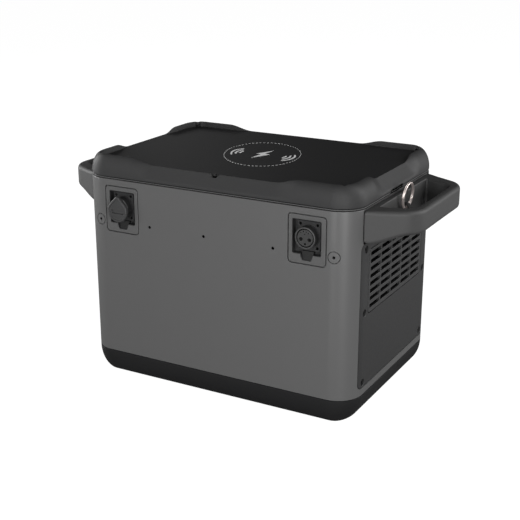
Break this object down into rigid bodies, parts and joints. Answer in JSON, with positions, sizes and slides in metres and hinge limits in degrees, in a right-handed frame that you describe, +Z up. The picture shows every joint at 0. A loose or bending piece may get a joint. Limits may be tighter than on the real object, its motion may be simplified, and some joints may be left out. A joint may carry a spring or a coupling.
{
  "type": "portable power station",
  "caption": "Portable power station: rounded box with side carry handles, strap rings, vented side panels, round power sockets and a flat charging lid.",
  "frame": {"origin": "on the ground at the centre of the footprint", "axes": "+Z up, +X towards the right-hand handle, -Y towards the face with the two round power sockets, +Y towards the control face"},
  "size_m": [0.428, 0.242, 0.2597],
  "materials": {
    "shell_grey": "satin, fine moulded grain",
    "lid_grey": "satin, fine moulded grain",
    "base_black": "satin, fine moulded grain",
    "trim_grey": "satin",
    "plate_black": "matte, white printed charging ring",
    "handle_grey": "satin, fine moulded grain",
    "panel_grey": "satin",
    "vent_grey": "satin",
    "bezel_grey": "satin, fine moulded grain",
    "socket_black": "satin",
    "insert_grey": "matte",
    "cap_rubber": "matte",
    "screw_black": "black oxide",
    "screw_cover_grey": "satin",
    "ring_steel": "polished wire",
    "lug_grey": "satin",
    "foot_rubber": "matte",
    "face_black": "matte",
    "display_black": "gloss, smoked",
    "button_grey": "satin",
    "outlet_black": "satin",
    "cell_blue": "shrink wrapped cells in aluminium cans",
    "bracket_steel": "zinc plated sheet",
    "board_green": "solder mask",
    "fan_black": "satin",
    "coil_copper": "enamelled copper wire",
    "cable_red": "insulated cable"
  },
  "bodies": {
    "housing": {"base_tray": "base_black", "main_shell": "shell_grey", "seam_trim": "trim_grey", "lid_frame": "lid_grey", "top_plate": "plate_black", "handle_right": "handle_grey", "handle_left": "handle_grey", "strap_lug_right": "lug_grey", "strap_lug_left": "lug_grey", "side_panel_right": "panel_grey", "side_panel_left": "panel_grey", "vent_grille_right": "vent_grey", "vent_grille_left": "vent_grey", "port_bezel_right": "bezel_grey", "port_bezel_left": "bezel_grey", "power_socket_right": "socket_black", "power_socket_left": "socket_black", "socket_insert": "insert_grey", "bezel_screw_right": "screw_cover_grey", "bezel_screw_left": "screw_cover_grey", "control_panel": "face_black", "display_window": "display_black", "ac_outlet_1": "outlet_black", "ac_outlet_2": "outlet_black", "usb_module": "outlet_black", "car_socket": "outlet_black", "battery_pack": "cell_blue", "chassis_bracket": "bracket_steel", "inverter_board": "board_green", "bms_board": "board_green", "fan_frame": "fan_black", "charge_coil": "coil_copper", "battery_cable": "cable_red", "panel_screw_right_1": "screw_black", "panel_screw_right_2": "screw_black", "panel_screw_right_3": "screw_black", "panel_screw_right_4": "screw_black", "panel_screw_right_5": "screw_black", "panel_screw_right_6": "screw_black", "panel_screw_left_1": "screw_black", "panel_screw_left_2": "screw_black", "panel_screw_left_3": "screw_black", "panel_screw_left_4": "screw_black", "panel_screw_left_5": "screw_black", "panel_screw_left_6": "screw_black", "bracket_screw_1": "screw_black", "bracket_screw_2": "screw_black", "bracket_screw_3": "screw_black", "foot_front_right": "foot_rubber", "foot_front_left": "foot_rubber", "foot_back_right": "foot_rubber", "foot_back_left": "foot_rubber"},
    "right_ring": {"strap_ring_right": "ring_steel"},
    "left_ring": {"strap_ring_left": "ring_steel"},
    "rubber_cap": {"port_cap": "cap_rubber"},
    "power_key": {"power_button": "button_grey"},
    "dc_key": {"dc_button": "button_grey"},
    "ac_key": {"ac_button": "button_grey"},
    "socket_lid": {"car_socket_cover": "cap_rubber"},
    "rotor": {"fan_rotor": "fan_black"}
  },
  "joints": [
    {"name": "right_ring_swing", "type": "hinge", "parent": "housing", "child": "right_ring", "pos_m": [0.1736, 0, 0.2158], "axis": [0, 1, 0], "range_deg": [-6, 165]},
    {"name": "left_ring_swing", "type": "hinge", "parent": "housing", "child": "left_ring", "pos_m": [-0.1736, 0, 0.2158], "axis": [0, -1, 0], "range_deg": [-6, 165]},
    {"name": "rubber_cap_pull", "type": "slide", "parent": "housing", "child": "rubber_cap", "axis": [0, -1, 0], "range_m": [0, 0.02]},
    {"name": "power_button_press", "type": "slide", "parent": "housing", "child": "power_key", "axis": [0, -1, 0], "range_m": [0, 0.0012]},
    {"name": "dc_button_press", "type": "slide", "parent": "housing", "child": "dc_key", "axis": [0, -1, 0], "range_m": [0, 0.0012]},
    {"name": "ac_button_press", "type": "slide", "parent": "housing", "child": "ac_key", "axis": [0, -1, 0], "range_m": [0, 0.0012]},
    {"name": "socket_lid_hinge", "type": "hinge", "parent": "housing", "child": "socket_lid", "pos_m": [0.086, 0.117, 0.1196], "axis": [1, 0, 0], "range_deg": [0, 160]},
    {"name": "fan_spin", "type": "hinge", "parent": "housing", "child": "rotor", "pos_m": [0.1515, 0, 0.154], "axis": [1, 0, 0], "continuous": true}
  ]
}
